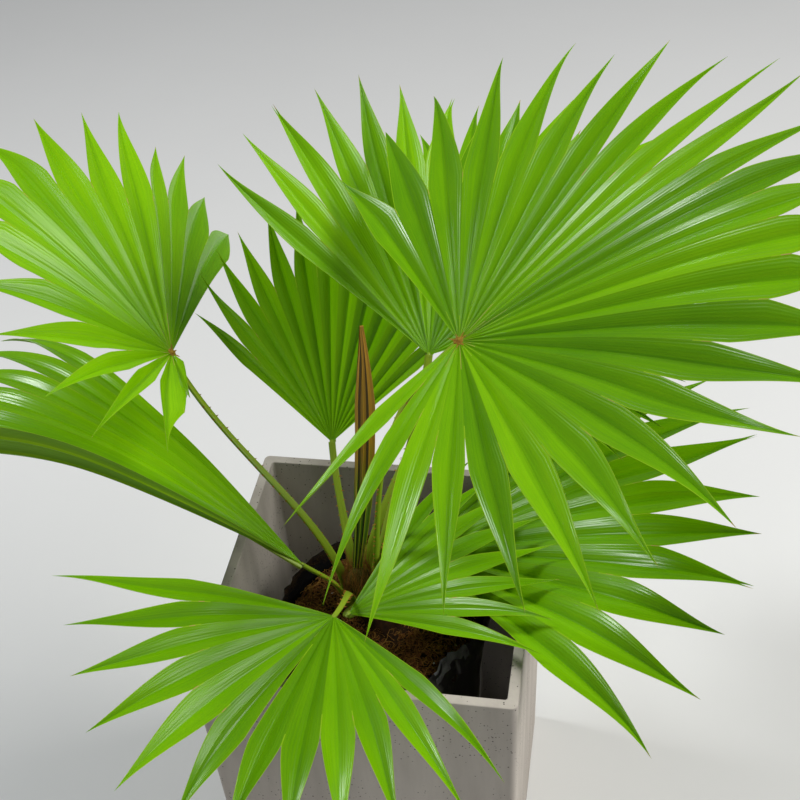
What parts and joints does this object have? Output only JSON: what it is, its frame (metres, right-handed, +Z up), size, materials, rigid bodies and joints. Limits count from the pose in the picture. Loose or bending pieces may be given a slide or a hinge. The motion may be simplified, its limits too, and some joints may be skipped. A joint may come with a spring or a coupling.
{
  "type": "potted chinese fan palm",
  "caption": "Young fan palm with pleated palmate fronds on spiny petioles, rooted in coir in a nursery bag inside a tall square concrete planter.",
  "frame": {"origin": "centre of the planter's flat underside", "axes": "+Z up; X and Y along the planter's sides, -Y towards the front of the plant, where the lowest frond hangs over the rim"},
  "size_m": [0.8682, 0.7542, 0.8788],
  "materials": {
    "concrete": "pale grey cast concrete with small dark pits and faint upright streaks, matt",
    "bag_plastic": "thin black plastic, creased and shiny at the folded lip",
    "coir": "red-brown coconut fibre and chips, matt",
    "stem_sheath": "green-brown leaf sheaths with orange-brown fibres, matt",
    "spear_blade": "folded young leaf, brown and olive strips, satin",
    "petiole_green": "smooth olive-green leaf stalk with red-brown spines, satin",
    "frond_blade": "glossy bright green pleated leaf blade with pale ribs and yellowish margins"
  },
  "bodies": {
    "root": {"concrete_pot": "concrete", "nursery_bag": "bag_plastic", "coir_soil": "coir", "stem_base": "stem_sheath", "spear_leaf": "spear_blade", "petiole_1": "petiole_green", "petiole_2": "petiole_green", "petiole_3": "petiole_green", "petiole_4": "petiole_green", "petiole_5": "petiole_green", "petiole_6": "petiole_green", "petiole_7": "petiole_green", "petiole_8": "petiole_green", "petiole_9": "petiole_green", "frond_1": "frond_blade", "frond_2": "frond_blade", "frond_3": "frond_blade", "frond_4": "frond_blade", "frond_5": "frond_blade", "frond_6": "frond_blade", "frond_7": "frond_blade", "frond_8": "frond_blade", "frond_9": "frond_blade"}
  },
  "joints": []
}
